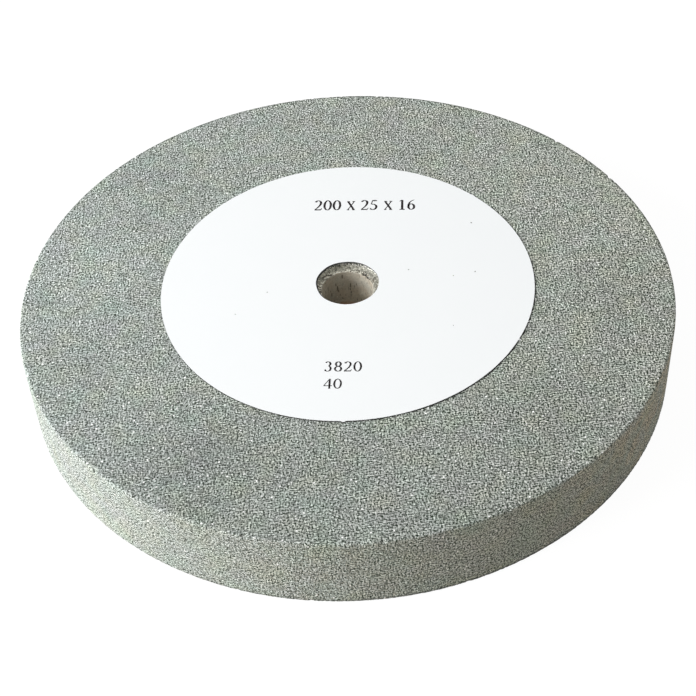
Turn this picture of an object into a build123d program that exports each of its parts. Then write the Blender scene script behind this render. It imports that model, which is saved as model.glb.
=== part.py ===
"""Bench grinding wheel: a straight wheel of bonded abrasive grain, lying flat on its rear blotter.

The wheel is a thick disc with square sides and lightly broken corners. Its spindle hole is a rough
moulded seat with a smooth bush cast into it, which stops short of both sides and has dished ends.
A paper blotter is glued to each side, where the clamping flanges of the grinder bear. The paper
reaches in a little over the edge of the seat.

Frame: millimetres, Z along the spindle axis, origin on that axis at the face the wheel lies on.
"""

from build123d import *

import os

# Wheel body
wheel_diameter = 200.0  # outside diameter of the grinding face
wheel_thickness = 25.0  # between the two sides, without the blotters
rim_corner_radius = 0.5  # broken corner between a side and the grinding face

# Spindle hole, the bush and its seat
bore_diameter = 16.0  # the bush's bore, for the spindle
bush_wall = 2.5  # from the bore out to the seat
bush_recess = 1.9  # from a side of the wheel down to the bush's outer edge
bush_dish = 0.6  # how much deeper the bush's inner edge lies than its outer edge
bush_dish_bow = 0.15  # how far the dished end sinks below a straight cone
bore_lip_radius = 0.35  # rounded inner edge at each end of the bush
seat_mouth_chamfer = 0.4  # broken corner between the seat and a side

# Blotters
blotter_diameter = 115.0  # outside diameter of the paper
blotter_thickness = 0.3  # one layer of card
blotter_overhang = 0.8  # how far the paper reaches in past the seat's wall

# Sizes and heights that follow from the ones above
wheel_radius = wheel_diameter / 2
bore_radius = bore_diameter / 2
seat_radius = bore_radius + bush_wall
blotter_hole_radius = seat_radius - blotter_overhang
rear_side_height = blotter_thickness
front_side_height = rear_side_height + wheel_thickness
middle_height = (rear_side_height + front_side_height) / 2
bush_outer_half_length = wheel_thickness / 2 - bush_recess
bush_inner_half_length = bush_outer_half_length - bush_dish

# Abrasive wheel: the bonded disc, with the moulded seat through its middle
with BuildPart() as abrasive_wheel:
    with BuildSketch(Plane.XY.offset(rear_side_height)):
        Circle(wheel_radius)
        Circle(seat_radius, mode=Mode.SUBTRACT)
    extrude(amount=wheel_thickness)
    side_corners = abrasive_wheel.edges().filter_by(GeomType.CIRCLE).group_by(SortBy.RADIUS)
    fillet(side_corners[-1], rim_corner_radius)
    chamfer(side_corners[0], seat_mouth_chamfer)
abrasive_wheel.part.label = "abrasive_wheel"

# Arbor bush: its section between the bore and the seat, turned about the axis
with BuildPart() as arbor_bush:
    with BuildSketch(Plane.XZ.shift_origin((0, 0, middle_height))) as bush_section:
        with BuildLine():
            bore_wall = Line(
                (bore_radius, -bush_inner_half_length), (bore_radius, bush_inner_half_length)
            )
            front_end = SagittaArc(
                bore_wall @ 1, (seat_radius, bush_outer_half_length), -bush_dish_bow
            )
            seat_wall = Line(front_end @ 1, (seat_radius, -bush_outer_half_length))
            SagittaArc(seat_wall @ 1, bore_wall @ 0, -bush_dish_bow)
        make_face()
        bore_lips = bush_section.vertices().group_by(Axis.X)[0]
        fillet(bore_lips, bore_lip_radius)
    revolve(axis=Axis.Z)
arbor_bush.part.label = "arbor_bush"


def blotter(height):
    """One punched paper washer with its lower face at the given height."""
    with BuildPart() as washer:
        with BuildSketch(Plane.XY.offset(height)):
            Circle(blotter_diameter / 2)
            Circle(blotter_hole_radius, mode=Mode.SUBTRACT)
        extrude(amount=blotter_thickness)
    return washer.part


# Blotters: the rear one lies under the wheel, the front one on top
rear_blotter = blotter(rear_side_height - blotter_thickness)
rear_blotter.label = "rear_blotter"
front_blotter = blotter(front_side_height)
front_blotter.label = "front_blotter"

os.makedirs("parts", exist_ok=True)
for piece in (abrasive_wheel.part, arbor_bush.part, rear_blotter, front_blotter):
    export_step(piece, f"parts/{piece.label}.step")
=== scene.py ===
"""Looks of the bench grinding wheel: bonded grain, a cast bush, paper blotters and printed numbers."""

import math

import bpy
import numpy as np
from mathutils import Matrix, Vector


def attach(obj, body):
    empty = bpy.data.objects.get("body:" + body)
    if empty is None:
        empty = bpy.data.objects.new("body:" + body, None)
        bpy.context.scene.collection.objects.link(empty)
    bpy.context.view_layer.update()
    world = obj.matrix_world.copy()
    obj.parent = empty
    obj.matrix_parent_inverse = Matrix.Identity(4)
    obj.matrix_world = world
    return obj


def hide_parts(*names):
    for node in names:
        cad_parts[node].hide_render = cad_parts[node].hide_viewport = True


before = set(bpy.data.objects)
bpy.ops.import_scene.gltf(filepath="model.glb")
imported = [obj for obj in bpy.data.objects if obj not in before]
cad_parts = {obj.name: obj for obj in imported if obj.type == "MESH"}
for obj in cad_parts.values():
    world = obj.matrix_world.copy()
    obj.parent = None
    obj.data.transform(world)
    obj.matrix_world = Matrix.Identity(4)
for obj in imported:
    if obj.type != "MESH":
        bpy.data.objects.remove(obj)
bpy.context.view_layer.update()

MM = 0.001
BODY = "root"
SEED = 16
rng = np.random.default_rng(SEED)


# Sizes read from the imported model

def distances(points):
    """How far each point is from the axis."""
    return np.hypot(points[:, 0], points[:, 1])


def reach(node):
    """The smallest and largest distance from the spindle axis in a node, and its lowest and highest point."""
    corners = np.array([v.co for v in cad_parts[node].data.vertices])
    from_axis = distances(corners)
    return from_axis.min(), from_axis.max(), corners[:, 2].min(), corners[:, 2].max()


SEAT_RADIUS, WHEEL_RADIUS, REAR_SIDE, FRONT_SIDE = reach("abrasive_wheel")
BORE_RADIUS, _, BUSH_BOTTOM, BUSH_TOP = reach("arbor_bush")
PAPER_HOLE_RADIUS, PAPER_RADIUS, _, PAPER_TOP = reach("front_blotter")
MIDDLE = (REAR_SIDE + FRONT_SIDE) / 2

# Sizes of the wheel's own detail
SEAT_CHAMFER = 0.4 * MM
BUSH_DISH = 0.6 * MM
BUSH_DISH_BOW = 0.15 * MM
INK_THICKNESS = 0.012 * MM
# The printed card lies lower by its ink's thickness, and ink and grit stand a little way into it
CARD_TOP = PAPER_TOP - INK_THICKNESS
INK_FOOT = CARD_TOP - INK_THICKNESS / 2

# Leeways for telling a mesh's rings apart: between two rings, and within one
RING_GAP = 0.1 * MM
SAME_RING = 0.01 * MM


# Meshes turned about the spindle axis

def turned_mesh(rings):
    """A closed mesh from a closed loop of rings, each (radius, height, segments). Neighbouring rings have
    equal segments, or one has twice the other's. Returns the points, each point's ring, and the faces."""
    points, owners, starts = [], [], []
    for index, (radius, height, segments) in enumerate(rings):
        starts.append(len(points))
        turn = np.arange(segments) * 2 * math.pi / segments
        points.extend(zip(radius * np.cos(turn), radius * np.sin(turn), np.full(segments, height)))
        owners.extend([index] * segments)
    faces = []
    for index, (_, _, segments) in enumerate(rings):
        following = (index + 1) % len(rings)
        faces.extend(band(starts[index], segments, starts[following], rings[following][2]))
    return np.array(points), np.array(owners), faces


def band(first, first_count, second, second_count):
    """Faces between two rings. The finer ring has as many points as the other, or twice as many."""
    if first_count == second_count:
        return [
            (first + i, second + i, second + (i + 1) % first_count, first + (i + 1) % first_count)
            for i in range(first_count)
        ]
    turned_over = first_count < second_count
    fine, coarse, count = (second, first, first_count) if turned_over else (first, second, second_count)
    faces = []
    for i in range(count):
        a, b, c = fine + 2 * i, fine + 2 * i + 1, fine + (2 * i + 2) % (2 * count)
        d, e = coarse + i, coarse + (i + 1) % count
        faces.extend([(a, d, b), (b, d, e), (b, e, c)])
    return [face[::-1] for face in faces] if turned_over else faces


def placed(name, data):
    """A new object in the scene."""
    made = bpy.data.objects.new(name, data)
    bpy.context.scene.collection.objects.link(made)
    return made


def finished_piece(name, points, faces, material, replaced=(), smooth=True):
    """Makes the object, gives it its material, ties it to the body and hides the nodes that it stands for."""
    mesh = bpy.data.meshes.new(name)
    mesh.from_pydata([tuple(p) for p in points], [], faces)
    mesh.materials.append(material)
    mesh.polygons.foreach_set("use_smooth", [smooth] * len(mesh.polygons))
    mesh.validate()
    mesh.update()
    piece = placed(name, mesh)
    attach(piece, BODY)
    if replaced:
        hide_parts(*replaced)
    return piece


def spaced(start, end, step):
    """Values from start to end, both included, about a step apart."""
    count = max(1, round(abs(end - start) / step))
    return list(np.linspace(start, end, count + 1))


def on_circle(turn, radius, height):
    """A point at a direction, in radians, round the axis."""
    return np.array([radius * math.cos(turn), radius * math.sin(turn), height])


def turns(points):
    """The direction of each point round the axis, in degrees."""
    return np.degrees(np.arctan2(points[:, 1], points[:, 0]))


def arc_gap(turn, direction, radius):
    """How far round a circle each turn lies from a direction, as a length. Both are in degrees."""
    return np.radians((turn - direction + 180) % 360 - 180) * radius


def outward(points, rings, owners):
    """The direction out of the body at each point, from the slope of its section."""
    section = np.array([(r, z) for r, z, _ in rings])
    along = np.roll(section, -1, axis=0) - np.roll(section, 1, axis=0)
    along /= np.linalg.norm(along, axis=1)[:, None]
    out = np.stack([-along[:, 1], along[:, 0]], 1)[owners]
    return np.hstack([points[:, :2] / distances(points)[:, None] * out[:, :1], out[:, 1:]])


# Abrasive wheel

# Segments of a ring: along the rim, out on the side, under the paper, and at the seat
RIM_SEGMENTS = 1536
SIDE_SEGMENTS, COVERED_SEGMENTS, SEAT_SEGMENTS = (RIM_SEGMENTS // share for share in (2, 4, 8))
# Steps between rings: on the rim, the side, the side near the rim and near the seat, and the open and the
# covered seat
RIM_STEP = 0.95 * MM
SIDE_STEP = 5 * MM
NEAR_RIM_WIDTH, NEAR_RIM_STEP = 2.2 * MM, 0.7 * MM
NEAR_SEAT_STEP = 1.2 * MM
OPEN_SEAT_STEP, COVERED_SEAT_STEP = 0.35 * MM, 3 * MM
# The worn corners: how far each reaches across the side, and down the rim
FRONT_CORNER = (0.4 * MM, 1.0 * MM)
REAR_CORNER = (0.5 * MM, 0.5 * MM)
CORNER_STEPS = 4
# Grains torn out: greatest depth on the rim and in the seat, the power that makes deep ones few, and how
# much of it is left at the front corner
GRAIN_DEPTH = 0.16 * MM
SEAT_GRAIN_DEPTH = 0.3 * MM
GRAIN_POWER = 1.5
CORNER_GRAIN = 0.4
# Chips at the two corners: how many, radii, the power that makes large ones few, how much smaller they are
# at the rear, and how ragged
CHIP_COUNT = 90
CHIP_RADII = (0.55 * MM, 1.15 * MM)
CHIP_POWER = 3
REAR_CHIP = 0.7
CHIP_RAGGED = (0.85, 1.15)


def corner(width, height):
    """The worn corner's section from the side to the rim: radii, and how far each lies in from the side."""
    bends = [math.pi / 2 * step / CORNER_STEPS for step in range(CORNER_STEPS + 1)]
    return [(WHEEL_RADIUS - width * (1 - math.sin(a)), height * (1 - math.cos(a))) for a in bends]


def side_rings():
    """The flat side from the seat out to the worn corner, each ring as its radius and segments."""
    near_rim_end = WHEEL_RADIUS - REAR_CORNER[0]
    near_rim_start = near_rim_end - NEAR_RIM_WIDTH
    near_seat = spaced(SEAT_RADIUS + SEAT_CHAMFER, PAPER_HOLE_RADIUS * 2, NEAR_SEAT_STEP)
    side = [(r, SEAT_SEGMENTS) for r in near_seat]
    side += [(r, COVERED_SEGMENTS) for r in spaced(near_seat[-1], PAPER_RADIUS, SIDE_STEP)[1:]]
    side += [(r, SIDE_SEGMENTS) for r in spaced(PAPER_RADIUS, near_rim_start, SIDE_STEP)[1:]]
    side += [(r, RIM_SEGMENTS) for r in spaced(near_rim_start, near_rim_end, NEAR_RIM_STEP)[1:-1]]
    return side


def wheel_rings():
    """The wheel's section as rings: out over the front side, down the rim, back below and up the seat."""
    side = side_rings()
    rim = spaced(FRONT_SIDE - FRONT_CORNER[1], REAR_SIDE + REAR_CORNER[1], RIM_STEP)[1:-1]
    seat = spaced(REAR_SIDE + SEAT_CHAMFER, BUSH_BOTTOM, OPEN_SEAT_STEP)
    seat += spaced(BUSH_BOTTOM, BUSH_TOP, COVERED_SEAT_STEP)[1:]
    seat += spaced(BUSH_TOP, FRONT_SIDE - SEAT_CHAMFER, OPEN_SEAT_STEP)[1:]
    rings = [(r, FRONT_SIDE, count) for r, count in side]
    rings += [(r, FRONT_SIDE - drop, RIM_SEGMENTS) for r, drop in corner(*FRONT_CORNER)]
    rings += [(WHEEL_RADIUS, z, RIM_SEGMENTS) for z in rim]
    rings += [(r, REAR_SIDE + drop, RIM_SEGMENTS) for r, drop in reversed(corner(*REAR_CORNER))]
    rings += [(r, REAR_SIDE, count) for r, count in reversed(side)]
    rings += [(SEAT_RADIUS, z, SEAT_SEGMENTS) for z in seat]
    return rings


def torn_depth(points, from_axis):
    """How deep the grain is torn out at each point: along the corners and the rim, and in the open seat."""
    depth = GRAIN_DEPTH * rng.random(len(points)) ** GRAIN_POWER
    at_rim = from_axis > WHEEL_RADIUS - REAR_CORNER[0]
    at_front_corner = points[:, 2] > FRONT_SIDE - FRONT_CORNER[1] - RING_GAP
    depth = np.where(at_front_corner, depth * CORNER_GRAIN, depth)
    past_bush = (points[:, 2] > BUSH_TOP + RING_GAP) | (points[:, 2] < BUSH_BOTTOM - RING_GAP)
    in_seat = (from_axis < SEAT_RADIUS + SEAT_CHAMFER + RING_GAP) & past_bush
    depth = np.where(in_seat, SEAT_GRAIN_DEPTH * rng.random(len(points)), depth)
    return np.where(at_rim | in_seat, depth, 0)


def chip_places():
    """Places round the two corners where grains have broken out, each a point and a radius."""
    places = []
    smallest, largest = CHIP_RADII
    for _ in range(CHIP_COUNT):
        turn = rng.uniform(0, 2 * math.pi)
        height = FRONT_SIDE if rng.random() < 0.5 else REAR_SIDE
        radius = smallest + (largest - smallest) * rng.random() ** CHIP_POWER
        radius *= REAR_CHIP if height == REAR_SIDE else 1.0
        places.append((on_circle(turn, WHEEL_RADIUS, height), radius))
    return places


def make_wheel(material):
    """The bonded disc: grains torn out along its corners and rim, and a rough moulded seat for the bush."""
    rings = wheel_rings()
    points, owners, faces = turned_mesh(rings)
    points -= outward(points, rings, owners) * torn_depth(points, distances(points))[:, None]
    for centre, radius in chip_places():
        gap = points - centre
        distance = np.linalg.norm(gap, axis=1)
        inside = distance < radius
        ragged = radius * rng.uniform(*CHIP_RAGGED, inside.sum())
        points[inside] = centre + gap[inside] / distance[inside][:, None] * ragged[:, None]
    return finished_piece("bonded_wheel", points, faces, material, ["abrasive_wheel"])


# Bush

LEDGE_RINGS = 13
LEDGE_SEGMENTS = 320
WALL_SEGMENTS = 2 * LEDGE_SEGMENTS
WALL_STEP = 0.25 * MM
LIP_RADIUS = 0.15 * MM
# Crumbs torn out of the ends: greatest depth, the level of a random value that they begin at,
# and how they fade towards the seat, over a width and down to a share
CRUMB_DEPTH = 0.45 * MM
CRUMB_LEVEL = 0.6
CRUMB_FADE, CRUMB_LEAST = 0.3 * MM, 0.2
# Pits in the ends: how many, radii, the share in front, how much those go sideways and down, and how far
# all stay off the seat
PIT_COUNT = 26
PIT_RADII = (0.25 * MM, 0.5 * MM)
FRONT_PITS = 0.6
FRONT_PIT_LEAN = (0.3, 0.3, 1.0)
PIT_MARGIN = 0.05 * MM
# Breaks seen in the front end: direction in degrees, then distance from the axis and radius in mm
EDGE_BREAKS = (
    (132.0, 9.3, 0.5),
    (128.5, 8.95, 0.6),
    (125.0, 8.6, 0.6),
    (118.6, 8.15, 0.5),
    (60.7, 8.1, 0.45),
    (51.0, 8.35, 0.7),
    (45.5, 8.6, 0.75),
    (40.5, 8.4, 0.6),
    (36.0, 8.15, 0.8),
    (30.5, 8.4, 0.65),
)
# Gouges along the bore: direction in degrees, then height of the middle, length and width in mm
GOUGES = (
    (116.2, 18.2, 1.5, 0.4),
    (112.6, 16.4, 2.6, 0.55),
    (110.4, 15.1, 1.1, 0.45),
    (82.3, 16.9, 2.2, 0.5),
    (83.6, 15.3, 1.3, 0.4),
    (82.0, 13.9, 0.9, 0.35),
    (100.0, 20.9, 1.9, 0.55),
    (128.6, 14.9, 1.8, 0.55),
    (138.6, 18.4, 1.8, 0.4),
    (148.0, 17.9, 1.9, 0.45),
    (101.5, 11.8, 1.1, 0.4),
)
GOUGE_DEPTH = 0.2 * MM


def bush_rings():
    """The bush's section as rings: up the bore, over the dished front end, and back under the rear end."""
    inner = BORE_RADIUS + LIP_RADIUS
    end = []
    for share in np.linspace(0, 1, LEDGE_RINGS):
        bow = BUSH_DISH_BOW * 4 * share * (1 - share)
        height = BUSH_TOP - BUSH_DISH * (1 - share) - bow
        end.append((inner + (SEAT_RADIUS - inner) * share, height, LEDGE_SEGMENTS))
    bore_top = BUSH_TOP - BUSH_DISH - LIP_RADIUS
    bore_bottom = 2 * MIDDLE - bore_top
    rings = [(BORE_RADIUS, z, WALL_SEGMENTS) for z in spaced(bore_bottom, bore_top, WALL_STEP)]
    rings += end
    rings += [(r, 2 * MIDDLE - z, count) for r, z, count in reversed(end)]
    return rings


def crumble(points, out, from_axis):
    """Tears crumbs out of the bush's two ends."""
    in_end = np.clip((from_axis - BORE_RADIUS) / LIP_RADIUS, 0, 1)
    in_end *= np.clip((SEAT_RADIUS - from_axis) / CRUMB_FADE, CRUMB_LEAST, 1)
    single = rng.random(len(points))
    crumbs = sum(np.roll(single, by) for by in (0, 1, LEDGE_SEGMENTS, LEDGE_SEGMENTS + 1)) / 2
    points -= out * (np.clip(crumbs - CRUMB_LEVEL, 0, 1) * CRUMB_DEPTH * in_end)[:, None]


def pit_places():
    """Places on the two ends where the cast has broken away, each a point and a radius."""
    places = []
    for _ in range(PIT_COUNT):
        turn, from_axis = rng.uniform(0, 360), rng.uniform(BORE_RADIUS, SEAT_RADIUS)
        height = BUSH_TOP - BUSH_DISH / 2 if rng.random() < FRONT_PITS else BUSH_BOTTOM + BUSH_DISH / 2
        places.append((on_circle(math.radians(turn), from_axis, height), rng.uniform(*PIT_RADII)))
    for turn, from_axis, radius in EDGE_BREAKS:
        centre = on_circle(math.radians(turn), from_axis * MM, BUSH_TOP - BUSH_DISH)
        places.append((centre, radius * MM))
    return places


def pit(points, out, from_axis):
    """Breaks the pits out of the bush's two ends. Those in front also take the bore's lip down."""
    for centre, radius in pit_places():
        distance = np.linalg.norm(points - centre, axis=1)
        inside = (distance < radius) & (from_axis < SEAT_RADIUS - PIT_MARGIN)
        depth = radius - distance[inside]
        in_front = centre[2] > MIDDLE
        lean = FRONT_PIT_LEAN if in_front else (1.0, 1.0, 1.0)
        points[inside] -= out[inside] * lean * depth[:, None]
        if in_front:
            points[inside, 2] -= depth * (from_axis[inside] < BORE_RADIUS + LIP_RADIUS)


def gouge(points, from_axis):
    """Scores the gouges into the wall of the bore."""
    on_wall = from_axis < BORE_RADIUS + SAME_RING
    turn = turns(points)
    for direction, height, length, width in GOUGES:
        across = arc_gap(turn, direction, BORE_RADIUS) / (width * MM / 2)
        along = (points[:, 2] - height * MM) / (length * MM / 2)
        depth = GOUGE_DEPTH * np.sqrt(np.clip(1 - across**2 - along**2, 0, 1)) * on_wall
        points[:, :2] *= (1 + depth / from_axis)[:, None]


def make_bush(material):
    """The cast bush: a smooth bore with a few gouges, and torn, crumbly ends."""
    rings = bush_rings()
    points, owners, faces = turned_mesh(rings)
    out, from_axis = outward(points, rings, owners), distances(points)
    crumble(points, out, from_axis)
    pit(points, out, from_axis)
    gouge(points, from_axis)
    return finished_piece("cast_bush", points, faces, material, ["arbor_bush"])


# Blotters

PAPER_SEGMENTS = 768
PAPER_STEP = 4 * MM
PAPER_PLACE = (0.2 * MM, 0.15 * MM)
HOLE_PLACE = (-0.1 * MM, -0.28 * MM)
# How much further out the hole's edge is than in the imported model
HOLE_EXTRA = 0.02 * MM
# The cut edges spread out below, most at one direction in degrees, by a width
HOLE_SLOPE = (165.0, 0.5 * MM)
EDGE_SLOPE = (-12.0, 0.42 * MM)
EDGE_RAGGED = (0.1, 1.5)
# The washer is punched a little oval: the direction of its long axis in degrees, and how much
OVAL = (52.0, 0.14 * MM)
# Nibs at the outer cut edge: direction in degrees, then width and height in mm, and how steep their ends are
PUNCH_NIBS = ((-93.6, 1.4, 0.4), (42.0, 1.6, 0.2))
NIB_STEEPNESS = 2.5
# Waves round the hole: how many, the turn in radians that they start at, and their height in mm
HOLE_WAVES = ((3, 1.0, 0.06), (7, 0.0, 0.04))


def blotter_rings(bottom, top):
    """A washer's section as rings, over the top from the hole outwards and back underneath."""
    radii = spaced(PAPER_HOLE_RADIUS + HOLE_EXTRA, PAPER_RADIUS, PAPER_STEP)
    return [(r, top, PAPER_SEGMENTS) for r in radii] + [(r, bottom, PAPER_SEGMENTS) for r in reversed(radii)]


def make_blotter(name, points, faces, material, node):
    """A blotter as a finished piece that stands for its node."""
    return finished_piece(name, points, faces, material, [node], smooth=False)


def leaning(turn, slope):
    """How far a cut edge leans out at each direction."""
    direction, width = slope
    return width * (0.5 + 0.5 * np.cos(np.radians(turn - direction)))


def make_printed_blotter(material):
    """The front blotter: a little oval and uneven at its cut edges, and glued on slightly off centre."""
    points, _, faces = turned_mesh(blotter_rings(FRONT_SIDE, CARD_TOP))
    from_axis, turn = distances(points), turns(points)
    below = points[:, 2] < (FRONT_SIDE + CARD_TOP) / 2
    outer = from_axis > from_axis.max() - SAME_RING
    inner = from_axis < from_axis.min() + SAME_RING
    long_axis, longer = OVAL
    shift = np.where(outer, longer * np.cos(2 * np.radians(turn - long_axis)), 0)
    for direction, width, height in PUNCH_NIBS:
        away = np.abs(arc_gap(turn, direction, PAPER_RADIUS)) / (width * MM / 2)
        shift += np.where(outer, np.clip(NIB_STEEPNESS * (1 - away), 0, 1) * height * MM, 0)
    shift += np.where(outer & below, leaning(turn, EDGE_SLOPE) * rng.uniform(*EDGE_RAGGED, len(points)), 0)
    for count, start, height in HOLE_WAVES:
        shift += np.where(inner, height * MM * np.sin(np.radians(turn) * count + start), 0)
    shift -= np.where(inner & below, leaning(turn, HOLE_SLOPE), 0)
    points[:, :2] *= (1 + shift / from_axis)[:, None]
    points[:, :2] += np.where(inner[:, None], HOLE_PLACE, (0.0, 0.0)) + np.array(PAPER_PLACE)
    return make_blotter("printed_blotter", points, faces, material, "front_blotter")


def make_plain_blotter(material):
    """The rear blotter, evenly punched."""
    points, _, faces = turned_mesh(blotter_rings(0.0, REAR_SIDE))
    return make_blotter("plain_blotter", points, faces, material, "rear_blotter")


# Loose grains on the paper: place and radius in mm, then the sides of each and how uneven it is
PAPER_SPECKS = (
    (41.0, 24.9, 0.3),
    (19.3, 4.2, 0.26),
    (32.9, 0.2, 0.28),
    (39.8, 1.4, 0.3),
    (30.8, -21.8, 0.17),
    (-24.6, -2.4, 0.3),
    (-34.2, -11.4, 0.26),
)
SPECK_SIDES = 9
SPECK_UNEVEN = (0.6, 1.1)


def make_specks(material):
    """Loose grains of the stone on the printed paper, each a low uneven lump."""
    points, faces = [], []
    turn = np.arange(SPECK_SIDES) * 2 * math.pi / SPECK_SIDES
    for x, y, radius in PAPER_SPECKS:
        start = len(points)
        uneven = radius * MM * rng.uniform(*SPECK_UNEVEN, SPECK_SIDES)
        edge = np.stack([x * MM + uneven * np.cos(turn), y * MM + uneven * np.sin(turn)], 1)
        points += [(px, py, z) for z in (INK_FOOT, PAPER_TOP) for px, py in edge]
        lower = list(range(start, start + SPECK_SIDES))
        upper = [i + SPECK_SIDES for i in lower]
        faces += [tuple(reversed(lower)), tuple(upper)]
        for i in range(SPECK_SIDES):
            j = (i + 1) % SPECK_SIDES
            faces.append((lower[i], lower[j], upper[j], upper[i]))
    return finished_piece("paper_grit", points, faces, material, smooth=False)


# Printed numbers

# The pen's widths in shares of a numeral's height, how fast it thins as it turns, the degrees between an
# arc's points, and the number of a curve's
THICK, THIN = 0.147, 0.066
PEN_POWER = 1.4
ARC_STEP = 12
CURVE_POINTS = 9


def arc(centre, radii, start, end):
    """Part of an ellipse as (x, y, pen width). The pen is broad where it moves up or down."""
    count = max(4, round(abs(end - start) / ARC_STEP))
    found = []
    for angle in np.radians(np.linspace(start, end, count + 1)):
        x = centre[0] + radii[0] * math.cos(angle)
        y = centre[1] + radii[1] * math.sin(angle)
        found.append((x, y, THIN + (THICK - THIN) * abs(math.cos(angle)) ** PEN_POWER))
    return found


def bend(start, pull, end, start_width, end_width):
    """A curve from start to end that leans towards pull, as (x, y, pen width)."""
    found = []
    for t in np.linspace(0, 1, CURVE_POINTS):
        x, y = ((1 - t) ** 2 * start[k] + 2 * t * (1 - t) * pull[k] + t**2 * end[k] for k in (0, 1))
        found.append((x, y, start_width + (end_width - start_width) * t))
    return found


def dot(x, y, width):
    """A round blob of ink as a short stroke that swells and closes."""
    turn = np.linspace(math.pi, 0, CURVE_POINTS)
    return [(x + width / 2 * math.cos(a), y, width * math.sin(a)) for a in turn]


# Each numeral is a list of strokes on a cell one high and 0.6 wide
NUMERALS = {
    "0": [arc((0.3, 0.5), (0.225, 0.47), 0, 360)],
    "1": [
        [(0.32, 0.0, THICK), (0.32, 0.98, THICK)],
        [(0.34, 0.97, THIN), (0.14, 0.86, THIN)],
        [(0.14, 0.02, THIN), (0.5, 0.02, THIN)],
    ],
    "2": [
        arc((0.28, 0.73), (0.195, 0.235), 160, -28),
        bend((0.452, 0.62), (0.38, 0.36), (0.06, 0.06), THICK * 0.92, THIN),
        [(0.04, 0.05, 0.1), (0.5, 0.05, 0.1)],
        [(0.48, 0.06, THIN), (0.56, 0.21, THIN * 0.6)],
    ],
    "3": [
        arc((0.26, 0.765), (0.165, 0.2), 150, -75),
        arc((0.25, 0.29), (0.205, 0.265), 78, -150),
        dot(0.085, 0.15, 0.1),
    ],
    "4": [
        [(0.42, 0.0, THICK), (0.42, 0.99, THICK)],
        [(0.4, 0.97, THIN), (0.04, 0.3, THIN)],
        [(0.02, 0.29, 0.075), (0.58, 0.29, 0.075)],
    ],
    "5": [
        [(0.17, 0.935, 0.11), (0.5, 0.935, 0.11)],
        [(0.185, 0.93, THIN), (0.1, 0.56, THIN)],
        arc((0.22, 0.305), (0.245, 0.275), 112, -140),
        dot(0.07, 0.14, 0.1),
    ],
    "6": [
        arc((0.3, 0.3), (0.205, 0.275), 0, 360),
        bend((0.095, 0.3), (0.11, 0.86), (0.52, 0.985), THICK, THIN * 0.6),
    ],
    "8": [
        arc((0.3, 0.745), (0.165, 0.22), 0, 360),
        arc((0.3, 0.265), (0.21, 0.24), 0, 360),
    ],
    "x": [
        [(0.1, 0.84, 0.13), (0.52, 0.04, 0.13)],
        [(0.52, 0.84, THIN), (0.1, 0.04, THIN)],
        [(0.02, 0.86, THIN), (0.24, 0.86, THIN)],
        [(0.4, 0.86, THIN), (0.6, 0.86, THIN)],
        [(0.02, 0.02, THIN), (0.2, 0.02, THIN)],
        [(0.4, 0.02, THIN), (0.6, 0.02, THIN)],
    ],
}
# Each line of numerals: text, left end and base line in mm, then height, pitch and slant in degrees
PRINTED = (
    ("200 x 25 x 16", (-9.4, 35.8), 5.1, 3.04, -4.5),
    ("3820", (-8.25, -37.65), 4.05, 2.83, -4.7),
    ("40", (-8.67, -44.45), 3.9, 2.83, -4.7),
)
SPACE_PITCHES = 0.5
CELL_WIDTH = 0.66
LEAST_HALF_WIDTH = 0.0001 * MM


def stroke_plate(stroke, start, across, up):
    """Points and faces of one stroke as a thin closed plate, on a cell with a corner and two sides."""
    x, y, width = np.array(stroke).T
    line = start + np.outer(x, across) + np.outer(y, up)
    along = np.gradient(line, axis=0)
    along /= np.linalg.norm(along, axis=1)[:, None]
    half_width = width * np.linalg.norm(up) / 2 + LEAST_HALF_WIDTH
    side = np.stack([-along[:, 1], along[:, 0]], 1) * half_width[:, None]
    outline = np.vstack([line + side, (line - side)[::-1]])
    count = len(outline)
    points = [(px, py, z) for z in (INK_FOOT, PAPER_TOP) for px, py in outline]
    faces = []
    for i in range(len(line) - 1):
        a, b, c, d = i, i + 1, count - 2 - i, count - 1 - i
        faces.append((a, b, c, d))
        faces.append((d + count, c + count, b + count, a + count))
    for i in range(count):
        j = (i + 1) % count
        faces.append((j, i, i + count, j + count))
    return points, faces


def make_numbers(material):
    """All the printed numerals as one piece of ink on the front blotter."""
    points, faces = [], []
    for text, left_end, height, pitch, slant in PRINTED:
        turn = math.radians(slant)
        step = np.array([math.cos(turn), math.sin(turn)]) * pitch * MM
        up = np.array([-math.sin(turn), math.cos(turn)]) * height * MM
        start = np.array(left_end) * MM
        for sign in text:
            if sign == " ":
                start = start + step * SPACE_PITCHES
                continue
            for stroke in NUMERALS[sign]:
                new_points, new_faces = stroke_plate(stroke, start, step / CELL_WIDTH, up)
                faces.extend(tuple(i + len(points) for i in face) for face in new_faces)
                points.extend(new_points)
            start = start + step
    return finished_piece("printed_numbers", points, faces, material, smooth=False)


# Materials

WHITE = (1.0, 1.0, 1.0)
LEVEL = (1.0, 1.0, 0.0)


def add_node(tree, kind, inputs, **settings):
    """Adds a node with its settings, and links or sets its inputs, which are given by name or number."""
    node = tree.nodes.new(kind)
    for name, value in settings.items():
        setattr(node, name, value)
    for key, value in inputs.items():
        if isinstance(value, bpy.types.NodeSocket):
            tree.links.new(value, node.inputs[key])
        else:
            node.inputs[key].default_value = value
    return node


def empty_tree(owner):
    """The cleared node tree of a material or a world."""
    owner.use_nodes = True
    owner.node_tree.nodes.clear()
    return owner.node_tree


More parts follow.
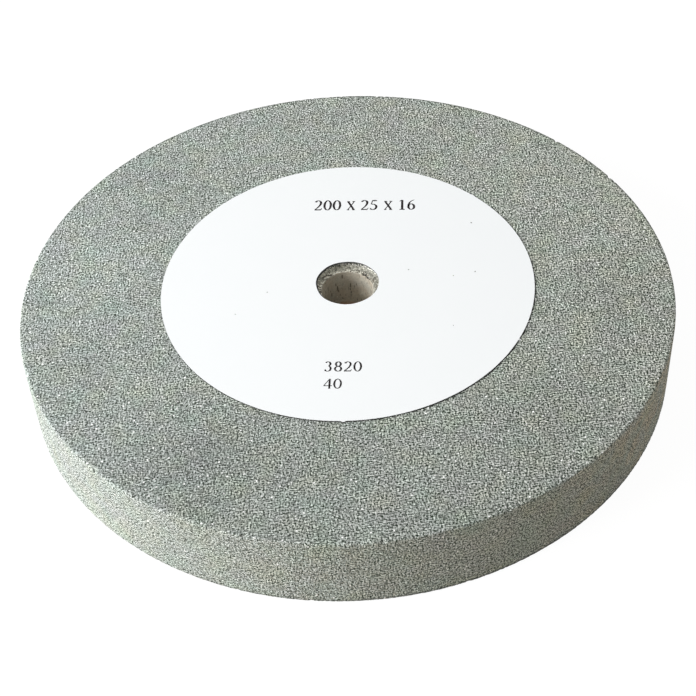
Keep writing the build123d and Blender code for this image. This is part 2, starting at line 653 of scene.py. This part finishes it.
class Recipe:
    """A material's node tree, with short calls for the nodes that the recipes use."""

    def __init__(self, name):
        self.material = bpy.data.materials.new(name)
        self.tree = empty_tree(self.material)
        coordinates = self.tree.nodes.new("ShaderNodeTexCoord")
        self.place, self.facing = coordinates.outputs["Object"], coordinates.outputs["Normal"]

    def voronoi(self, cell, output="Color", place=None):
        """A random pattern of cells: a colour for each, or the distance from its middle in cells."""
        inputs = {"Scale": 1 / cell, "Vector": place or self.place}
        return add_node(self.tree, "ShaderNodeTexVoronoi", inputs).outputs[output]

    def noise(self, size, detail=2.0, place=None, output="Fac"):
        """A soft random pattern of spots about the given size."""
        inputs = {"Scale": 1 / size, "Detail": detail, "Vector": place or self.place}
        return add_node(self.tree, "ShaderNodeTexNoise", inputs).outputs[output]

    def maths(self, operation, a, b=0.0):
        """One sum on one or two numbers."""
        return add_node(self.tree, "ShaderNodeMath", {0: a, 1: b}, operation=operation).outputs[0]

    def vectors(self, operation, a, b=None):
        """One sum on one or two vectors, or on a vector and a number."""
        inputs = {0: a}
        if b is not None:
            inputs["Scale" if operation == "SCALE" else 1] = b
        node = add_node(self.tree, "ShaderNodeVectorMath", inputs, operation=operation)
        return node.outputs["Value" if operation in ("DOT_PRODUCT", "LENGTH") else "Vector"]

    def channel(self, colour, index):
        """One channel of a colour, or one coordinate of a place."""
        return add_node(self.tree, "ShaderNodeSeparateColor", {0: colour}).outputs[index]

    def fit(self, value, low, high, new_low=0.0, new_high=1.0):
        """The value moved from one range to another, and kept within it."""
        ends = {"Value": value, "From Min": low, "From Max": high, "To Min": new_low, "To Max": new_high}
        return add_node(self.tree, "ShaderNodeMapRange", ends).outputs["Result"]

    def mix(self, share, a, b, blend="MIX"):
        """Two colours mixed by a share, with another blend where one is given."""
        a, b = (c if isinstance(c, bpy.types.NodeSocket) else (*c, 1) for c in (a, b))
        inputs = {0: share, 6: a, 7: b}
        return add_node(self.tree, "ShaderNodeMix", inputs, data_type="RGBA", blend_type=blend).outputs[2]

    def times(self, colour, tint):
        """A colour multiplied by another."""
        return self.mix(1.0, colour, tint, "MULTIPLY")

    def bump(self, size, distance, strength):
        """Normals of a fine random relief."""
        inputs = {"Height": self.noise(size, detail=4.0), "Distance": distance, "Strength": strength}
        return add_node(self.tree, "ShaderNodeBump", inputs).outputs[0]

    def facets(self, size, tilt):
        """The surface's normals leant over by a random colour, so that each grain is a facet of its own."""
        lean = self.vectors("SUBTRACT", self.voronoi(size), (0.5, 0.5, 0.5))
        surface = self.tree.nodes.new("ShaderNodeNewGeometry").outputs["Normal"]
        return self.vectors("NORMALIZE", self.vectors("ADD", surface, self.vectors("SCALE", lean, tilt)))

    def finish(self, colour, roughness, specular, normal=None):
        """The material with its one shader."""
        inputs = {"Base Color": colour, "Roughness": roughness, "Specular IOR Level": specular}
        if normal:
            inputs["Normal"] = normal
        shader = add_node(self.tree, "ShaderNodeBsdfPrincipled", inputs)
        add_node(self.tree, "ShaderNodeOutputMaterial", {"Surface": shader.outputs[0]})
        return self.material


def distance_from_axis(r):
    """How far the shaded point is from the spindle axis."""
    return r.vectors("LENGTH", r.vectors("MULTIPLY", r.place, LEVEL))


def distance_from_middle(r):
    """How far the shaded point is from the middle of the wheel's thickness, to either side."""
    return r.maths("ABSOLUTE", r.maths("SUBTRACT", r.channel(r.place, 2), MIDDLE))


def scattered(r, spacing, share, channel, radii):
    """Small spots at a share of the cells of a random pattern, which fade between two radii, in cells."""
    chosen = r.maths("GREATER_THAN", r.channel(r.voronoi(spacing), channel), 1 - share)
    return r.maths("MULTIPLY", chosen, r.fit(r.voronoi(spacing, "Distance"), *radii))


# Bonded grain: sizes, and how strongly each part of it shows
GRAIN = 0.29 * MM
GRAIN_CONTRAST = 1.66
CONTRAST_SLOPE = (2.4, 2.0, 0.0)
NEIGHBOUR_DISTANCE = 0.65 * MM
NEIGHBOUR_SHARE = 0.72
NEIGHBOUR_DIRECTIONS = ((1, 1, 1), (1, -1, -1), (-1, 1, -1), (-1, -1, 1))
DARKEST_GRAIN, BRIGHTEST_GRAIN = 0.03, 3.0
FACET = 0.33 * MM
FACET_TILT = 0.8
STONE_GREY = (0.307, 0.32, 0.308)
STONE_TINT = (-0.004, 0.008, -0.005)
# How rough and how specular the stone is
STONE_SHINE = (0.75, 0.3)
# Faint patches of hue, and of light and dark: size, strength, and between which noise values they come up
HUES = ((1.1, 1.06, 0.8), (1.02, 0.93, 1.08), (0.82, 1.06, 0.95))
HUE_PATCH = 9.0 * MM
HUE_STRENGTH = 0.34
HUE_SPREAD = (0.45, 0.8)
BROAD_PATCH = 14 * MM
BROAD_STRENGTH = 0.03
BROAD_SPREAD = (0.3, 0.7)
# Painted light and shade: how the lightness changes with the place in metres, and with its square
PAINTED_LIGHT_SLOPE = (-1.1, 0.55, 0.0)
PAINTED_LIGHT_BOW = (8.0, -6.0, 0.0)
# Painted warm light from the right: how each channel of the colour changes along X, per metre
WARM_LIGHT_SLOPE = (0.2, 0.02, -0.3)
# Patches of painted warm light on the rim's right side: where they begin in X, their size and colour, between
# which noise values they come up, and how upright the surface has to be
WARM_LIGHT_FROM, WARM_LIGHT_TO = 45 * MM, 80 * MM
WARM_LIGHT_PATCH = 7 * MM
WARM_LIGHT_TINT = (1.16, 1.02, 0.91)
WARM_LIGHT_SPREAD = (0.4, 0.6)
RIM_FACING = (0.7, 0.3)
# Painted shade, a dark line on the front side's far edge and on the rear corner: how much it darkens, and
# between which distances from the corner, and places in Y or X, it comes up
FAR_EDGE_SHADE, FAR_EDGE_SHADE_WIDTHS, FAR_EDGE_SHADE_ENDS = 0.34, (1.3 * MM, 0.5 * MM), (0.0, 40 * MM)
REAR_EDGE_SHADE, REAR_EDGE_SHADE_WIDTHS, REAR_EDGE_SHADE_ENDS = 0.9, (1.3 * MM, 0.75 * MM), (-75 * MM, 85 * MM)
# The painted shade on the rear corner stays near the rim: between which distances from it, it comes up
NEAR_RIM = (3 * MM, 1 * MM)
# Broad patches where the stone is darker or lighter: place and radius in mm, and the change
TONE_PATCHES = (
    (-43.0, -68.0, 24.0, -0.16),
    (-64.0, 57.0, 28.0, -0.11),
    (-79.0, 15.0, 22.0, 0.11),
    (88.0, -12.0, 24.0, -0.1),
    (58.0, -60.0, 26.0, -0.09),
    (-86.0, -32.0, 16.0, -0.07),
    (69.0, -84.0, 16.0, 0.08),
)
# Pores with painted shade, and crystals with painted glints: spacing, share of the cells, channel to choose
# by and radii in cells
PORES = (1.1 * MM, 0.08, 1, (0.36, 0.2))
PORE_PAINTED_SHADE = (0.05, 0.055, 0.05)
PAINTED_GLINTS = (1.1 * MM, 0.028, 2, (0.28, 0.2))
PAINTED_GLINT_COLOUR = (0.92, 0.93, 0.92)
# The moulded seat is greyer, and has a painted shadow under the paper: how far out its colour reaches, and
# between which heights from the middle of the thickness the painted shadow comes up
SEAT_REACH = (1.0 * MM, 0.5 * MM)
SEAT_TINT = (1.8, 1.65, 1.65)
PAPER_SHADOW_FROM, PAPER_SHADOW_TO = FRONT_SIDE - MIDDLE - 1.0 * MM, FRONT_SIDE - MIDDLE - 0.8 * MM
PAPER_SHADOW_COLOUR = (0.03, 0.03, 0.028)


def grain_shade(r):
    """How light each grain is: its own random shade, less that of its neighbours, so that it stands out."""

    def shade(place):
        return r.channel(r.voronoi(GRAIN, place=place), 0)

    around = 0.0
    for direction in NEIGHBOUR_DIRECTIONS:
        step = Vector(direction).normalized() * NEIGHBOUR_DISTANCE
        along_surface = r.vectors("SUBTRACT", step, r.vectors("PROJECT", step, r.facing))
        around = r.maths("ADD", shade(r.vectors("ADD", r.place, along_surface)), around)
    share = NEIGHBOUR_SHARE / len(NEIGHBOUR_DIRECTIONS)
    value = r.maths("SUBTRACT", shade(r.place), r.maths("MULTIPLY", around, share))
    middle = (1 - NEIGHBOUR_SHARE) / 2
    contrast = r.maths("ADD", r.vectors("DOT_PRODUCT", r.place, CONTRAST_SLOPE), 1.0)
    value = r.fit(value, middle - 0.5, middle + 0.5, -GRAIN_CONTRAST, GRAIN_CONTRAST)
    value = r.maths("ADD", r.maths("MULTIPLY", value, contrast), 1.0)
    return r.maths("MINIMUM", r.maths("MAXIMUM", value, DARKEST_GRAIN), BRIGHTEST_GRAIN)


def hued(r, colour):
    """The colour with faint patches of several hues."""
    patches = r.noise(HUE_PATCH, detail=1.0, output="Color")
    for index, hue in enumerate(HUES):
        share = r.fit(r.channel(patches, index), *HUE_SPREAD, 0.0, HUE_STRENGTH)
        colour = r.times(colour, r.mix(share, WHITE, hue))
    return colour


def tone_and_painted_light(r):
    """How light the stone is: patches of its own tone, and painted light and shade across the wheel."""
    shade = r.fit(r.noise(BROAD_PATCH, detail=3.0), *BROAD_SPREAD, 1 - BROAD_STRENGTH, 1 + BROAD_STRENGTH)
    # Painted light and shade: lighter to the left and back; with the square, lighter at both ends in X,
    # darker in Y
    shade = r.maths("ADD", shade, r.vectors("DOT_PRODUCT", r.place, PAINTED_LIGHT_SLOPE))
    squared = r.vectors("MULTIPLY", r.place, r.place)
    shade = r.maths("ADD", shade, r.vectors("DOT_PRODUCT", squared, PAINTED_LIGHT_BOW))
    for x, y, radius, change in TONE_PATCHES:
        gap = r.vectors("MULTIPLY", r.vectors("SUBTRACT", r.place, (x * MM, y * MM, 0.0)), LEVEL)
        shade = r.maths("ADD", shade, r.fit(r.vectors("LENGTH", gap), radius * MM, 0.0, 0.0, change))
    return shade


def painted_edge_shade(r):
    """How much colour is left where painted shade darkens the front side's far edge and the rear corner."""
    far = r.fit(distance_from_axis(r), *(WHEEL_RADIUS - width for width in FAR_EDGE_SHADE_WIDTHS), 0.0, FAR_EDGE_SHADE)
    far = r.maths("MULTIPLY", far, r.fit(r.channel(r.place, 1), *FAR_EDGE_SHADE_ENDS))
    rear = r.fit(r.channel(r.place, 2), *(REAR_SIDE + width for width in REAR_EDGE_SHADE_WIDTHS), 0.0, REAR_EDGE_SHADE)
    rear = r.maths("MULTIPLY", rear, r.fit(r.channel(r.place, 0), *REAR_EDGE_SHADE_ENDS))
    near_rim = r.fit(distance_from_axis(r), *(WHEEL_RADIUS - width for width in NEAR_RIM))
    return r.maths("SUBTRACT", 1.0, r.maths("MAXIMUM", far, r.maths("MULTIPLY", rear, near_rim)))


def painted_warm_light(r, colour):
    """The colour with patches of painted warm light on the rim's right side."""
    on_rim = r.fit(r.maths("ABSOLUTE", r.channel(r.facing, 2)), *RIM_FACING)
    share = r.maths("MULTIPLY", on_rim, r.fit(r.channel(r.place, 0), WARM_LIGHT_FROM, WARM_LIGHT_TO))
    share = r.maths("MULTIPLY", share, r.fit(r.noise(WARM_LIGHT_PATCH), *WARM_LIGHT_SPREAD))
    return r.mix(share, colour, r.times(colour, WARM_LIGHT_TINT))


def seat_tinted(r, colour):
    """The colour with the greyer moulded seat, and a painted shadow under the paper."""
    at_seat = r.fit(distance_from_axis(r), *(SEAT_RADIUS + width for width in SEAT_REACH))
    colour = r.mix(at_seat, colour, r.times(colour, SEAT_TINT))
    paper_shadow = r.fit(distance_from_middle(r), PAPER_SHADOW_FROM, PAPER_SHADOW_TO)
    return r.mix(r.maths("MULTIPLY", at_seat, paper_shadow), colour, PAPER_SHADOW_COLOUR)


def abrasive_material():
    """Grey-green bonded grain: a shade and facet per crystal, painted shade in pores, painted glints."""
    r = Recipe("bonded_grain")
    colour = r.vectors("ADD", r.vectors("SCALE", STONE_GREY, grain_shade(r)), STONE_TINT)
    colour = r.vectors("SCALE", hued(r, colour), tone_and_painted_light(r))
    # Painted warm light, the colour warmer to the right
    slope = r.vectors("SCALE", WARM_LIGHT_SLOPE, r.channel(r.place, 0))
    colour = r.vectors("MULTIPLY", colour, r.vectors("ADD", slope, WHITE))
    colour = painted_warm_light(r, r.vectors("SCALE", colour, painted_edge_shade(r)))
    # Pores painted dark as their shade, and glints painted white as highlights
    colour = r.mix(scattered(r, *PORES), colour, PORE_PAINTED_SHADE)
    colour = r.mix(scattered(r, *PAINTED_GLINTS), colour, PAINTED_GLINT_COLOUR)
    return r.finish(seat_tinted(r, colour), *STONE_SHINE, r.facets(FACET, FACET_TILT))


# The bush's bore: its wall, the clouds on it, scratches, fine grain and pale specks
BUSH_WALL = ((0.45, 0.4, 0.32), (0.5, 0.475, 0.405))
CLOUD_SIZE = 3 * MM
CLOUD_SPREAD = (0.35, 0.65)
BUSH_SCRATCH = (0.05, 0.045, 0.035)
SCRATCH_SIZE = 0.42 * MM
SCRATCH_STRETCH = (1.0, 1.0, 0.2)
SCRATCH_SPREAD = (0.64, 0.72)
SCRATCH_STRENGTH = 0.75
WALL_GRAIN = 0.4 * MM
WALL_GRAIN_SHADES = (0.88, 1.12)
WALL_SPECKS = (0.9 * MM, 0.03, 1, (0.25, 0.15))
# Painted light and shade deep in the bore, paler on the right and darker on the left: from which height
# down, and how light at two places in X
DEEP_LIGHT_HEIGHTS = (18 * MM, 14 * MM)
DEEP_PAINTED_LIGHT = (-6 * MM, 4.5 * MM, 0.75, 1.6)
# A ragged rusty stain on the far side of the bore: height, half width, how ragged it is, between which
# distances from its line it fades, where it begins in Y, its colour and strength
RUST_HEIGHT, RUST_WIDTH = 8.8 * MM, 1.3 * MM
RUST_RAGGED_SIZE, RUST_RAGGED = 1.2 * MM, RUST_WIDTH * 2
RUST_FADE = (RUST_WIDTH * 2.1, RUST_WIDTH * 1.3)
RUST_EDGE = (6.6 * MM, 7.5 * MM)
RUST = (0.4, 0.18, 0.07)
RUST_STRENGTH = 0.9
# Painted shade in the gouges, from one depth to another
GOUGE_SHADE = (0.2, 0.18, 0.145)
GOUGE_SHADE_DEPTHS = (0.03 * MM, 0.12 * MM)
# The bush's torn ends: the darkest and palest crumbs near the bore and further out, and groups of dark ones
CRUMB_SIZE = 0.55 * MM
BUSH_CRUMBS = ((0.27, 0.26, 0.21), (0.88, 0.86, 0.75))
OUTER_CRUMBS = ((0.24, 0.235, 0.2), (0.7, 0.69, 0.6))
OUTER_FROM = (0.8 * MM, 1.3 * MM)
DARK_CRUMB_SIZE = 0.8 * MM
DARK_CRUMB_SPREAD = (0.58, 0.66)
# The edge by the bore is pale, partly its colour and partly a painted highlight on the lip: how far out it
# fades, and how strong it is
PALE_LIP_AND_HIGHLIGHT = (0.9 * MM, 0.5 * MM)
PALE_LIP_AND_HIGHLIGHT_STRENGTH = 0.6
# Painted shade in hollows below the dished end, from one depth to another
HOLLOW_DEPTHS = (0.3 * MM, 0.5 * MM)
HOLLOW_SHADE = (0.06, 0.055, 0.045)
# Painted light and shade on the ledge, paler on the left, darker on the right: how light at two places in X
LEDGE_PAINTED_LIGHT = (-6 * MM, 8.5 * MM, 1.6, 0.65)
# How far the crumbly end reaches down the bore in places, and how softly it stops
RAGGED_SIZE, RAGGED_REACH = 0.8 * MM, 1.3 * MM
RAGGED_SPREAD = (0.4, 0.62)
TORN_MARGIN, TORN_FADE = 0.02 * MM, 0.1 * MM
# Size, height and strength of the bush's relief, and how rough it is at two values of its clouds
BUSH_RELIEF = (0.5 * MM, 0.1 * MM, 0.6)
BUSH_ROUGHNESS = (0.3, 0.7, 0.5, 0.7)
BUSH_SPECULAR = 0.3
# How far from the middle of the thickness the dished ends meet the bore
END_HEIGHT = BUSH_TOP - BUSH_DISH - MIDDLE


def rust_share(r):
    """How much of the rusty stain there is."""
    off_line = r.maths("ABSOLUTE", r.maths("SUBTRACT", r.channel(r.place, 2), RUST_HEIGHT))
    ragged = r.maths("MULTIPLY", r.noise(RUST_RAGGED_SIZE, detail=4.0), RUST_RAGGED)
    stain = r.fit(r.maths("ADD", off_line, ragged), *RUST_FADE, 0.0, RUST_STRENGTH)
    return r.maths("MULTIPLY", stain, r.fit(r.channel(r.place, 1), *RUST_EDGE))


def bore_wall(r, clouds):
    """The smooth wall of the bore: cloudy and scratched, with grain, pale specks and rust, painted light and
    shade deep down, and painted shade in the gouges.
    """
    stretched = r.vectors("MULTIPLY", r.place, SCRATCH_STRETCH)
    scratches = r.fit(r.noise(SCRATCH_SIZE, detail=1.0, place=stretched), *SCRATCH_SPREAD)
    wall = r.mix(r.fit(clouds, *CLOUD_SPREAD), *BUSH_WALL)
    wall = r.mix(r.maths("MULTIPLY", scratches, SCRATCH_STRENGTH), wall, BUSH_SCRATCH)
    grain = r.fit(r.channel(r.voronoi(WALL_GRAIN), 0), 0.0, 1.0, *WALL_GRAIN_SHADES)
    wall = r.vectors("SCALE", wall, grain)
    # The wall deep in the bore with painted light and shade: paler on the right, darker on the left
    worn = r.vectors("SCALE", wall, r.fit(r.channel(r.place, 0), *DEEP_PAINTED_LIGHT))
    wall = r.mix(r.fit(r.channel(r.place, 2), *DEEP_LIGHT_HEIGHTS), wall, worn)
    wall = r.mix(scattered(r, *WALL_SPECKS), wall, BUSH_CRUMBS[1])
    wall = r.mix(rust_share(r), wall, RUST)
    gouge_shade = r.fit(distance_from_axis(r), *(BORE_RADIUS + depth for depth in GOUGE_SHADE_DEPTHS))
    return r.mix(gouge_shade, wall, GOUGE_SHADE)


def hollow_share(r):
    """How far the shaded point is sunk below the dished end, from none to a hollow in painted shade."""
    out = r.maths("SUBTRACT", distance_from_axis(r), BORE_RADIUS)
    slope = r.maths("MULTIPLY", out, BUSH_DISH / (SEAT_RADIUS - BORE_RADIUS))
    sunk = r.maths("SUBTRACT", distance_from_middle(r), slope)
    return r.fit(sunk, *(END_HEIGHT - BUSH_DISH_BOW - depth for depth in HOLLOW_DEPTHS))


def crumbly_end(r):
    """The torn end: pale and dark crumbs, a pale edge by the bore with a painted highlight, painted light
    and shade from left to right, and painted shade in the hollows.
    """
    from_axis = distance_from_axis(r)
    shade = r.channel(r.voronoi(CRUMB_SIZE), 0)
    crumbs = r.mix(shade, *BUSH_CRUMBS)
    crumbs = r.mix(r.fit(r.noise(DARK_CRUMB_SIZE), *DARK_CRUMB_SPREAD), crumbs, BUSH_CRUMBS[0])
    # Pale crumbs, partly a painted highlight along the lip of the bore
    edge = r.fit(from_axis, *(BORE_RADIUS + width for width in PALE_LIP_AND_HIGHLIGHT))
    crumbs = r.mix(r.maths("MULTIPLY", edge, PALE_LIP_AND_HIGHLIGHT_STRENGTH), crumbs, BUSH_CRUMBS[1])
    further_out = r.fit(from_axis, *(BORE_RADIUS + width for width in OUTER_FROM))
    crumbs = r.mix(further_out, crumbs, r.mix(shade, *OUTER_CRUMBS))
    # Painted light and shade across the ledge
    crumbs = r.vectors("SCALE", crumbs, r.fit(r.channel(r.place, 0), *LEDGE_PAINTED_LIGHT))
    return r.mix(hollow_share(r), crumbs, HOLLOW_SHADE)


def torn_share(r):
    """Where the surface is the torn end, which reaches down the bore in places, and not the smooth wall."""
    off_wall = r.fit(distance_from_axis(r), BORE_RADIUS + TORN_MARGIN, BORE_RADIUS + LIP_RADIUS)
    ragged = r.maths("MULTIPLY", r.fit(r.noise(RAGGED_SIZE, detail=3.0), *RAGGED_SPREAD), RAGGED_REACH)
    reached = r.maths("ADD", distance_from_middle(r), ragged)
    return r.maths("MULTIPLY", off_wall, r.fit(reached, END_HEIGHT, END_HEIGHT + TORN_FADE))


def bush_material():
    """Cast brown-grey bush: smooth and scratched along the bore, pale and crumbly at its torn ends."""
    r = Recipe("cast_bush")
    clouds = r.noise(CLOUD_SIZE, detail=3.0)
    colour = r.mix(torn_share(r), bore_wall(r, clouds), crumbly_end(r))
    return r.finish(colour, r.fit(clouds, *BUSH_ROUGHNESS), BUSH_SPECULAR, r.bump(*BUSH_RELIEF))


# The card: two whites in clouds, painted shade on its cut edges, how far up the rest of it faces, its fibre's
# size, height and strength, and its shine
CARD_WHITES = ((0.9, 0.925, 0.94), (0.912, 0.936, 0.948))
CARD_CLOUD_SIZE = 14 * MM
CUT_EDGE_SHADE = (0.03, 0.03, 0.028)
FACING_UP = 0.9
FIBRE = (0.5 * MM, 0.01 * MM, 0.4)
CARD_SHINE = (0.62, 0.2)
# The ink: two blacks, the size of its spots, between which noise values they change, and its shine
INK_BLACKS = ((0.006, 0.005, 0.006), (0.03, 0.02, 0.02))
INK_SPOT_SIZE = 0.4 * MM
INK_SPREAD = (0.4, 0.75)
INK_SHINE = (0.7, 0.2)


def paper_material():
    """White coated card with a faint fibre, and painted shade on its cut edges."""
    r = Recipe("blotter_card")
    colour = r.mix(r.noise(CARD_CLOUD_SIZE), *CARD_WHITES)
    # Painted shade, a dark line on the cut edges
    on_cut_edge = r.maths("LESS_THAN", r.maths("ABSOLUTE", r.channel(r.facing, 2)), FACING_UP)
    colour = r.mix(on_cut_edge, colour, CUT_EDGE_SHADE)
    return r.finish(colour, *CARD_SHINE, r.bump(*FIBRE))


def ink_material():
    """Near-black printing ink, a little thin in places."""
    r = Recipe("printing_ink")
    colour = r.mix(r.fit(r.noise(INK_SPOT_SIZE, detail=3.0), *INK_SPREAD), *INK_BLACKS)
    return r.finish(colour, *INK_SHINE)


# Floor, light and camera

FLOOR_SIZE = 6.0
FLOOR_TINT = (0.6, 0.53, 0.43)
FLOOR_SEEN = (0.1, 0.1, 0.1)
# The seen floor's own light, near the wheel; far away it goes up to plain white, between two distances
FLOOR_GLOW = 0.95
GLOW_FROM, GLOW_TO = 0.5, 1.2
AMBIENT = 0.425
AMBIENT_TINT = (1.0, 0.99, 0.97)
LAMP_DISTANCE = 1.8
LAMP_SIZE = 1.25
KEY_LEVEL = 1.88
KEY_RISE = 22
KEY_TURN = 15
FILL_LEVEL = 0.01
FILL_DIRECTION = (1.0, -0.6, 0.5)
FILL_TINT = (1.0, 0.86, 0.66)
# The camera, from a fit to the outline, the blotter and the hole in the photograph
PICTURE_WIDTH = 696
FOCAL_PIXELS = 1440.6
CAMERA_DISTANCE = 461.66 * MM
CAMERA_RISE = 44.596
CAMERA_YAW, CAMERA_PITCH, CAMERA_ROLL = 1.129, 2.108, -3.464
PICTURE_SHIFT = (27.6, -62.0)
SENSOR_WIDTH = 36.0
CLIP_START = 0.01


def seen(tree):
    """One for rays from the camera, in reflections and through glass, and nought for all others."""
    rays = tree.nodes.new("ShaderNodeLightPath").outputs
    either = rays["Is Camera Ray"]
    for name in ("Is Glossy Ray", "Is Transmission Ray"):
        either = add_node(tree, "ShaderNodeMath", {0: either, 1: rays[name]}, operation="MAXIMUM").outputs[0]
    return either


def mixed_shader(tree, share, first, second):
    """Two shaders mixed by a share."""
    inputs = {0: share, 1: first.outputs[0], 2: second.outputs[0]}
    return add_node(tree, "ShaderNodeMixShader", inputs)


def floor_glow(tree):
    """The light of the seen floor: nearly white at the wheel, and white far away."""
    place = tree.nodes.new("ShaderNodeTexCoord").outputs["Object"]
    away = add_node(tree, "ShaderNodeVectorMath", {0: place}, operation="LENGTH").outputs["Value"]
    ends = {"Value": away, "From Min": GLOW_FROM, "From Max": GLOW_TO, "To Min": FLOOR_GLOW, "To Max": 1.0}
    strength = add_node(tree, "ShaderNodeMapRange", ends).outputs["Result"]
    return add_node(tree, "ShaderNodeEmission", {"Color": (*WHITE, 1), "Strength": strength})


def make_floor():
    """A plain pale floor that keeps a soft shadow, is white to the camera, and is clear from below."""
    bpy.ops.mesh.primitive_plane_add(size=FLOOR_SIZE)
    floor = bpy.context.object
    floor.name = "floor"
    material = bpy.data.materials.new("pale_floor")
    tree = empty_tree(material)
    lit = add_node(tree, "ShaderNodeBsdfDiffuse", {"Color": (*FLOOR_TINT, 1)})
    shadowed = add_node(tree, "ShaderNodeBsdfDiffuse", {"Color": (*FLOOR_SEEN, 1)})
    seen_floor = add_node(
        tree, "ShaderNodeAddShader", {0: shadowed.outputs[0], 1: floor_glow(tree).outputs[0]}
    )
    top = mixed_shader(tree, seen(tree), lit, seen_floor)
    clear = tree.nodes.new("ShaderNodeBsdfTransparent")
    from_below = tree.nodes.new("ShaderNodeNewGeometry").outputs["Backfacing"]
    surface = mixed_shader(tree, from_below, top, clear)
    add_node(tree, "ShaderNodeOutputMaterial", {"Surface": surface.outputs[0]})
    floor.data.materials.append(material)


def make_world():
    """Even light from all round, and plain white where the camera looks past the floor."""
    world = bpy.data.worlds.new("surroundings")
    bpy.context.scene.world = world
    tree = empty_tree(world)
    light = add_node(tree, "ShaderNodeBackground", {"Color": (*AMBIENT_TINT, 1), "Strength": AMBIENT})
    white = add_node(tree, "ShaderNodeBackground", {"Color": (*WHITE, 1), "Strength": 1.0})
    surface = mixed_shader(tree, seen(tree), light, white)
    add_node(tree, "ShaderNodeOutputWorld", {"Surface": surface.outputs[0]})


def make_lamp(name, direction, level, colour):
    """A square soft lamp that gives a surface facing it, at the wheel, the given level of light."""
    data = bpy.data.lights.new(name, "AREA")
    data.shape = "SQUARE"
    data.size = LAMP_SIZE
    data.color = colour
    data.energy = level * math.pi**2 * LAMP_DISTANCE**2
    lamp = placed(name, data)
    lamp.location = Vector((0, 0, MIDDLE)) + direction.normalized() * LAMP_DISTANCE
    lamp.rotation_euler = direction.to_track_quat("Z", "Y").to_euler()


def make_lights():
    """A soft key from the left, low over the wheel, and a faint warm fill from the right."""
    rise, turn = math.radians(KEY_RISE), math.radians(KEY_TURN)
    key = Vector((-math.cos(turn) * math.cos(rise), -math.sin(turn) * math.cos(rise), math.sin(rise)))
    make_lamp("key", key, KEY_LEVEL, WHITE)
    make_lamp("fill", Vector(FILL_DIRECTION), FILL_LEVEL, FILL_TINT)


def turned(first, second, degrees):
    """Two axes at right angles, turned in their plane, the first towards the second."""
    turn = math.radians(degrees)
    return first * math.cos(turn) + second * math.sin(turn), second * math.cos(turn) - first * math.sin(turn)


def make_camera():
    """The photograph's camera."""
    rise = math.radians(CAMERA_RISE)
    spot = Vector((0, -CAMERA_DISTANCE * math.cos(rise), CAMERA_DISTANCE * math.sin(rise) + REAR_SIDE))
    ahead = Vector((0, math.cos(rise), -math.sin(rise)))
    right = Vector((1, 0, 0))
    above = right.cross(ahead)
    ahead, right = turned(ahead, right, CAMERA_YAW)
    ahead, above = turned(ahead, above, CAMERA_PITCH)
    right, above = turned(right, above, CAMERA_ROLL)
    data = bpy.data.cameras.new("camera")
    data.sensor_width = SENSOR_WIDTH
    data.lens = SENSOR_WIDTH * FOCAL_PIXELS / PICTURE_WIDTH
    data.clip_start = CLIP_START
    data.shift_x, data.shift_y = -PICTURE_SHIFT[0] / PICTURE_WIDTH, PICTURE_SHIFT[1] / PICTURE_WIDTH
    camera = placed("camera", data)
    axes = Matrix((right, above, -ahead)).transposed()
    camera.matrix_world = Matrix.Translation(spot) @ axes.to_4x4()
    bpy.context.scene.camera = camera


# The whole scene

bpy.context.scene.view_settings.view_transform = "Standard"
stone, card = abrasive_material(), paper_material()
make_camera()
make_wheel(stone)
make_bush(bush_material())
make_printed_blotter(card)
make_plain_blotter(card)
make_numbers(ink_material())
make_specks(stone)
make_floor()
make_world()
make_lights()
